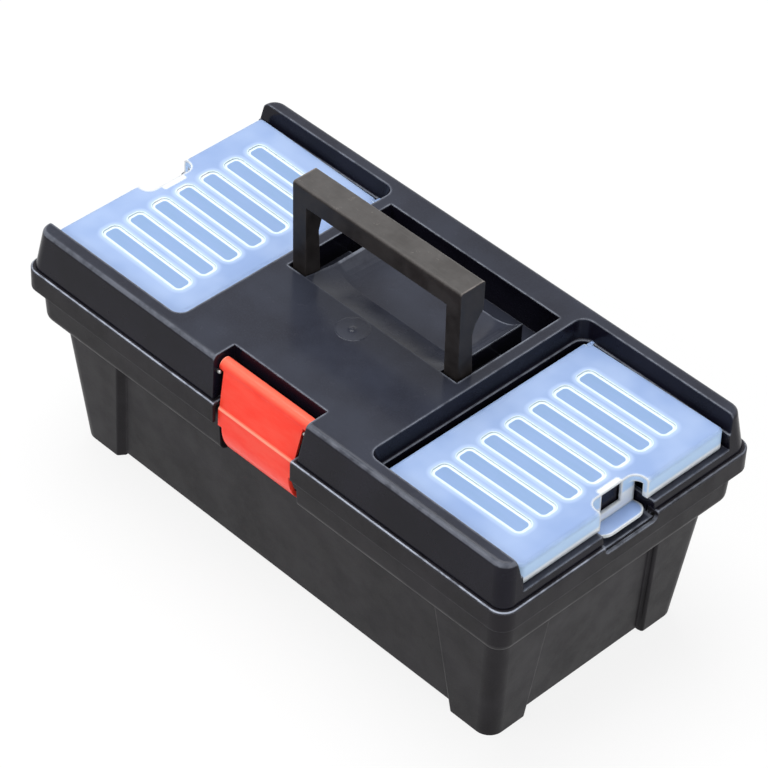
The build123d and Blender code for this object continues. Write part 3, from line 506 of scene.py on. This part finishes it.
def red_plastic():
    """Red plastic of the latch, with its top painted lighter as lit from above, painted highlights on its ridge
    and edges, and faint flow marks.
    """
    f = Finish("latch")
    colour = f.blend(f.patches(size=6, detail=3, stretch=3, rough=0.6), RED, RED_PALE)
    # Top painted lighter, as lit from above
    colour = f.blend(f.facing_up(0.1, 0.9), colour, RED_LIT_TOP)
    above = f.math("SUBTRACT", f.along("Z"), RIDGE_HEIGHT)
    # Painted highlight line along the ridge
    colour = f.blend(f.under(f.size_of(above), RIDGE_HALF, RIDGE_BLUR), colour, RED_HIGHLIGHT, share=0.7)
    # Painted highlight on outward edges
    colour = f.blend(f.edges(0.8 * MM), colour, RED_HIGHLIGHT, share=0.8)
    f.shade(Base_Color=colour, Roughness=f.patches(size=5, detail=4, to=(0.3, 0.42)),
            Coat_Weight=0.22, Coat_Roughness=0.15, Specular_IOR_Level=0.05)
    f.relief(f.noise(0.7, 3, rough=0.6), strength=0.4, depth=0.03 * MM, edge=0.5 * MM)
    return f


def steel():
    """Zinc plated steel of the pins."""
    f = Finish("steel")
    drawn = f.patches(size=0.25, detail=3, stretch=12)
    f.shade(Base_Color=f.blend(drawn, STEEL, STEEL_DULL), Roughness=f.spread(drawn, 0.25, 0.45), Metallic=1.0)
    f.relief(drawn, strength=0.3, depth=0.02 * MM, edge=0.2 * MM)
    return f


def dress(node, finish):
    """Give a CAD node its material."""
    data = nodes[node].data
    data.materials.clear()
    data.materials.append(finish.material)


def turned_piece(name, profile, body, finish, steps, place, turn=Matrix.Identity(4)):
    """Piece turned about its own Z axis from (radius, height) points, which then rides on a body."""
    mesh = bmesh.new()
    rings = []
    for radius, height in profile:
        count = steps if radius > 0 else 1
        ring = []
        for k in range(count):
            angle = 2 * pi * k / count
            ring.append(mesh.verts.new((radius * cos(angle), radius * sin(angle), height)))
        rings.append(ring)
    for low, high in zip(rings, rings[1:]):
        for k in range(steps):
            after = (k + 1) % steps
            corners = [low[k % len(low)], low[after % len(low)], high[after % len(high)], high[k % len(high)]]
            mesh.faces.new(list(dict.fromkeys(corners)))
    bmesh.ops.recalc_face_normals(mesh, faces=mesh.faces)
    data = bpy.data.meshes.new(name)
    mesh.to_mesh(data)
    mesh.free()
    data.shade_smooth()
    piece = bpy.data.objects.new(name, data)
    bpy.context.scene.collection.objects.link(piece)
    piece.matrix_world = Matrix.Translation(place) @ turn
    data.materials.append(finish.material)
    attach(piece, body)


def make_gate_mark(finish):
    """Round gate mark on the deck: a faint ring with a nub in its middle."""
    r = GATE_RADIUS
    h = GATE_RELIEF
    nub = [(0, 5 * h), (0.5 * MM, 4.4 * h), (0.75 * MM, 2.5 * h), (0.85 * MM, 0.4 * h),
           (2.6 * MM, 0.25 * h), (2.9 * MM, 0.05 * h)]
    ring = [(r - 1.6 * MM, 0.02 * h), (r - 1.1 * MM, 0.7 * h), (r - 0.7 * MM, h), (r - 0.3 * MM, 0.7 * h), (r, -h)]
    turned_piece("gate_mark", nub + ring, "lid", finish, GATE_STEPS, GATE_PLACE)


def make_stubs(finish):
    """Steel stubs in the walls of the latch notch, just under the ends of the barrel."""
    r = STUB_RADIUS
    axis = (pin_low + pin_high) / 2
    profile = [(0, 0), (0.5 * r, 0.1 * r), (0.85 * r, 0.4 * r), (r, r), (r, STUB_LENGTH), (0, STUB_LENGTH)]
    for side, name in ((-1, "left_stub"), (1, "right_stub")):
        place = Vector((side * STUB_INNER, axis.y - STUB_FORWARD, axis.z - STUB_DROP))
        turned_piece(name, profile, "lid", finish, STUB_STEPS, place,
                     turn=Matrix.Rotation(side * pi / 2, 4, "Y"))


make_camera()
make_studio()
make_floor()
tub_finish = moulded("tub", CHARCOAL, CHARCOAL_PALE, CHARCOAL_HIGHLIGHT, rough=0.4, grain=0.06, grain_size=0.9,
                     edge_reach=1.4, gloss=0.12, line=(RIM_HIGHLIGHT, RIM_HEIGHT))
lid_finish = moulded("lid", LID_SIDE, LID_SIDE_PALE, CHARCOAL_HIGHLIGHT, rough=0.22, grain=0.035, grain_size=0.7,
                     edge_reach=1.3, gloss=0.2, top=(DECK_LIT, DECK_LIT_PALE), line=(LID_HIGHLIGHT, LID_HIGHLIGHT_HEIGHT),
                     calm=CREST)
# Gate mark in the lid's lit deck colours, with a painted highlight on its edges
gate_finish = moulded("gate_mark", DECK_LIT, DECK_LIT_PALE, DECK_LIT_PALE, rough=0.3, grain=0.02, grain_size=0.7,
                      edge_reach=0.5, gloss=0.3, edge_round=0.3)
steel_finish = steel()
cover_finish = milky_plastic()
dress("tub", tub_finish)
dress("lid", lid_finish)
dress("handle", handle_plastic())
dress("latch", red_plastic())
for pin in ("latch_pin", "right_hinge_pin", "left_hinge_pin"):
    dress(pin, steel_finish)
for cover in ("right_cover", "left_cover"):
    dress(cover, cover_finish)
make_gate_mark(gate_finish)
make_stubs(steel_finish)
